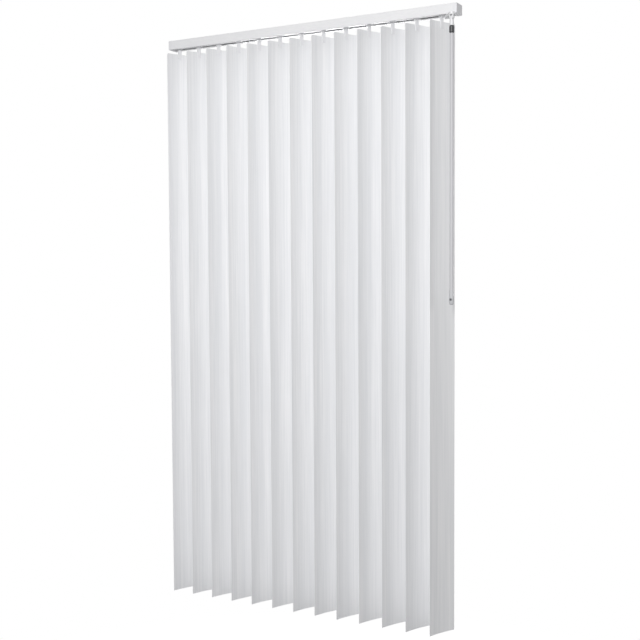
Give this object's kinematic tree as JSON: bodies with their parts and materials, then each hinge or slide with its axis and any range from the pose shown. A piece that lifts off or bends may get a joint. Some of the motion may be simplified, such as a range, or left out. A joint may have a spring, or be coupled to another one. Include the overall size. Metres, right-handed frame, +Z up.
{
  "type": "vertical blind",
  "caption": "Vertical blind: crowned slats on hook stems hang from carriers in a slotted ceiling rail; one wand draws and tilts them.",
  "frame": {"origin": "on the ceiling plane, at the middle of the rail and of the two clip screws", "axes": "+X along the rail towards the wand, +Y towards the window, +Z up"},
  "size_m": [0.916, 0.0822, 1.6603],
  "materials": {
    "rail_paint": "white powder coat",
    "clip_steel": "zinc plated",
    "cap_plastic": "moulded, satin",
    "rod_aluminium": "extruded",
    "carrier_plastic": "moulded",
    "stem_plastic": "moulded",
    "slat_pvc": "extruded, finely embossed",
    "spacer_steel": "rolled",
    "connector_plastic": "moulded",
    "wand_plastic": "extruded"
  },
  "bodies": {
    "headrail": {"headrail": "rail_paint", "ceiling_clips": "clip_steel", "end_cap_left": "cap_plastic", "end_cap_right": "cap_plastic", "carrier_01": "carrier_plastic", "spacer_01": "spacer_steel"},
    "carrier_02": {"carrier_02": "carrier_plastic", "spacer_02": "spacer_steel"},
    "carrier_03": {"carrier_03": "carrier_plastic", "spacer_03": "spacer_steel"},
    "carrier_04": {"carrier_04": "carrier_plastic", "spacer_04": "spacer_steel"},
    "carrier_05": {"carrier_05": "carrier_plastic", "spacer_05": "spacer_steel"},
    "carrier_06": {"carrier_06": "carrier_plastic", "spacer_06": "spacer_steel"},
    "carrier_07": {"carrier_07": "carrier_plastic", "spacer_07": "spacer_steel"},
    "carrier_08": {"carrier_08": "carrier_plastic", "spacer_08": "spacer_steel"},
    "carrier_09": {"carrier_09": "carrier_plastic", "spacer_09": "spacer_steel"},
    "carrier_10": {"carrier_10": "carrier_plastic", "spacer_10": "spacer_steel"},
    "carrier_11": {"carrier_11": "carrier_plastic", "spacer_11": "spacer_steel"},
    "carrier_12": {"carrier_12": "carrier_plastic", "spacer_12": "spacer_steel"},
    "lead_carrier": {"lead_carrier": "carrier_plastic"},
    "vane_01": {"stem_01": "stem_plastic", "slat_01": "slat_pvc"},
    "vane_02": {"stem_02": "stem_plastic", "slat_02": "slat_pvc"},
    "vane_03": {"stem_03": "stem_plastic", "slat_03": "slat_pvc"},
    "vane_04": {"stem_04": "stem_plastic", "slat_04": "slat_pvc"},
    "vane_05": {"stem_05": "stem_plastic", "slat_05": "slat_pvc"},
    "vane_06": {"stem_06": "stem_plastic", "slat_06": "slat_pvc"},
    "vane_07": {"stem_07": "stem_plastic", "slat_07": "slat_pvc"},
    "vane_08": {"stem_08": "stem_plastic", "slat_08": "slat_pvc"},
    "vane_09": {"stem_09": "stem_plastic", "slat_09": "slat_pvc"},
    "vane_10": {"stem_10": "stem_plastic", "slat_10": "slat_pvc"},
    "vane_11": {"stem_11": "stem_plastic", "slat_11": "slat_pvc"},
    "vane_12": {"stem_12": "stem_plastic", "slat_12": "slat_pvc"},
    "vane_13": {"stem_13": "stem_plastic", "slat_13": "slat_pvc"},
    "tilt_rod": {"tilt_rod": "rod_aluminium"},
    "wand_swivel": {"wand_swivel": "carrier_plastic"},
    "wand": {"wand_connector": "connector_plastic", "wand_tube": "wand_plastic", "wand_tip": "wand_plastic"}
  },
  "joints": [
    {"name": "draw", "type": "slide", "parent": "headrail", "child": "lead_carrier", "axis": [-1, 0, 0], "range_m": [0, 0.648]},
    {"name": "draw_02", "type": "slide", "parent": "headrail", "child": "carrier_02", "axis": [-1, 0, 0], "range_m": [0, 0.054]},
    {"name": "draw_03", "type": "slide", "parent": "headrail", "child": "carrier_03", "axis": [-1, 0, 0], "range_m": [0, 0.108]},
    {"name": "draw_04", "type": "slide", "parent": "headrail", "child": "carrier_04", "axis": [-1, 0, 0], "range_m": [0, 0.162]},
    {"name": "draw_05", "type": "slide", "parent": "headrail", "child": "carrier_05", "axis": [-1, 0, 0], "range_m": [0, 0.216]},
    {"name": "draw_06", "type": "slide", "parent": "headrail", "child": "carrier_06", "axis": [-1, 0, 0], "range_m": [0, 0.27]},
    {"name": "draw_07", "type": "slide", "parent": "headrail", "child": "carrier_07", "axis": [-1, 0, 0], "range_m": [0, 0.324]},
    {"name": "draw_08", "type": "slide", "parent": "headrail", "child": "carrier_08", "axis": [-1, 0, 0], "range_m": [0, 0.378]},
    {"name": "draw_09", "type": "slide", "parent": "headrail", "child": "carrier_09", "axis": [-1, 0, 0], "range_m": [0, 0.432]},
    {"name": "draw_10", "type": "slide", "parent": "headrail", "child": "carrier_10", "axis": [-1, 0, 0], "range_m": [0, 0.486]},
    {"name": "draw_11", "type": "slide", "parent": "headrail", "child": "carrier_11", "axis": [-1, 0, 0], "range_m": [0, 0.54]},
    {"name": "draw_12", "type": "slide", "parent": "headrail", "child": "carrier_12", "axis": [-1, 0, 0], "range_m": [0, 0.594]},
    {"name": "tilt", "type": "hinge", "parent": "headrail", "child": "vane_01", "pos_m": [-0.431, 0, -0.0403], "axis": [0, 0, 1], "range_deg": [-54, 104]},
    {"name": "tilt_02", "type": "hinge", "parent": "carrier_02", "child": "vane_02", "pos_m": [-0.361, 0, -0.0403], "axis": [0, 0, 1], "range_deg": [-54, 104]},
    {"name": "tilt_03", "type": "hinge", "parent": "carrier_03", "child": "vane_03", "pos_m": [-0.291, 0, -0.0403], "axis": [0, 0, 1], "range_deg": [-54, 104]},
    {"name": "tilt_04", "type": "hinge", "parent": "carrier_04", "child": "vane_04", "pos_m": [-0.221, 0, -0.0403], "axis": [0, 0, 1], "range_deg": [-54, 104]},
    {"name": "tilt_05", "type": "hinge", "parent": "carrier_05", "child": "vane_05", "pos_m": [-0.151, 0, -0.0403], "axis": [0, 0, 1], "range_deg": [-54, 104]},
    {"name": "tilt_06", "type": "hinge", "parent": "carrier_06", "child": "vane_06", "pos_m": [-0.081, 0, -0.0403], "axis": [0, 0, 1], "range_deg": [-54, 104]},
    {"name": "tilt_07", "type": "hinge", "parent": "carrier_07", "child": "vane_07", "pos_m": [-0.011, 0, -0.0403], "axis": [0, 0, 1], "range_deg": [-54, 104]},
    {"name": "tilt_08", "type": "hinge", "parent": "carrier_08", "child": "vane_08", "pos_m": [0.059, 0, -0.0403], "axis": [0, 0, 1], "range_deg": [-54, 104]},
    {"name": "tilt_09", "type": "hinge", "parent": "carrier_09", "child": "vane_09", "pos_m": [0.129, 0, -0.0403], "axis": [0, 0, 1], "range_deg": [-54, 104]},
    {"name": "tilt_10", "type": "hinge", "parent": "carrier_10", "child": "vane_10", "pos_m": [0.199, 0, -0.0403], "axis": [0, 0, 1], "range_deg": [-54, 104]},
    {"name": "tilt_11", "type": "hinge", "parent": "carrier_11", "child": "vane_11", "pos_m": [0.269, 0, -0.0403], "axis": [0, 0, 1], "range_deg": [-54, 104]},
    {"name": "tilt_12", "type": "hinge", "parent": "carrier_12", "child": "vane_12", "pos_m": [0.339, 0, -0.0403], "axis": [0, 0, 1], "range_deg": [-54, 104]},
    {"name": "tilt_13", "type": "hinge", "parent": "lead_carrier", "child": "vane_13", "pos_m": [0.409, 0, -0.0403], "axis": [0, 0, 1], "range_deg": [-54, 104]},
    {"name": "rod_turn", "type": "hinge", "parent": "headrail", "child": "tilt_rod", "pos_m": [0, 0.0105, -0.0156], "axis": [1, 0, 0], "range_deg": [-648, 1248]},
    {"name": "wand_swing", "type": "hinge", "parent": "lead_carrier", "child": "wand_swivel", "pos_m": [0.451, -0.036, -0.0405], "axis": [-1, 0, 0], "range_deg": [0, 70]},
    {"name": "wand_turn", "type": "hinge", "parent": "wand_swivel", "child": "wand", "pos_m": [0.451, -0.036, -0.0405], "axis": [0, 0, 1], "range_deg": [-648, 1248]}
  ],
  "couplings": [
    {"joint": "draw_02", "follows": "draw", "ratio": 0.083333},
    {"joint": "draw_03", "follows": "draw", "ratio": 0.16667},
    {"joint": "draw_04", "follows": "draw", "ratio": 0.25},
    {"joint": "draw_05", "follows": "draw", "ratio": 0.33333},
    {"joint": "draw_06", "follows": "draw", "ratio": 0.41667},
    {"joint": "draw_07", "follows": "draw", "ratio": 0.5},
    {"joint": "draw_08", "follows": "draw", "ratio": 0.58333},
    {"joint": "draw_09", "follows": "draw", "ratio": 0.66667},
    {"joint": "draw_10", "follows": "draw", "ratio": 0.75},
    {"joint": "draw_11", "follows": "draw", "ratio": 0.83333},
    {"joint": "draw_12", "follows": "draw", "ratio": 0.91667},
    {"joint": "tilt_02", "follows": "tilt", "ratio": 1},
    {"joint": "tilt_03", "follows": "tilt", "ratio": 1},
    {"joint": "tilt_04", "follows": "tilt", "ratio": 1},
    {"joint": "tilt_05", "follows": "tilt", "ratio": 1},
    {"joint": "tilt_06", "follows": "tilt", "ratio": 1},
    {"joint": "tilt_07", "follows": "tilt", "ratio": 1},
    {"joint": "tilt_08", "follows": "tilt", "ratio": 1},
    {"joint": "tilt_09", "follows": "tilt", "ratio": 1},
    {"joint": "tilt_10", "follows": "tilt", "ratio": 1},
    {"joint": "tilt_11", "follows": "tilt", "ratio": 1},
    {"joint": "tilt_12", "follows": "tilt", "ratio": 1},
    {"joint": "tilt_13", "follows": "tilt", "ratio": 1},
    {"joint": "rod_turn", "follows": "tilt", "ratio": 12},
    {"joint": "wand_turn", "follows": "tilt", "ratio": 12}
  ]
}
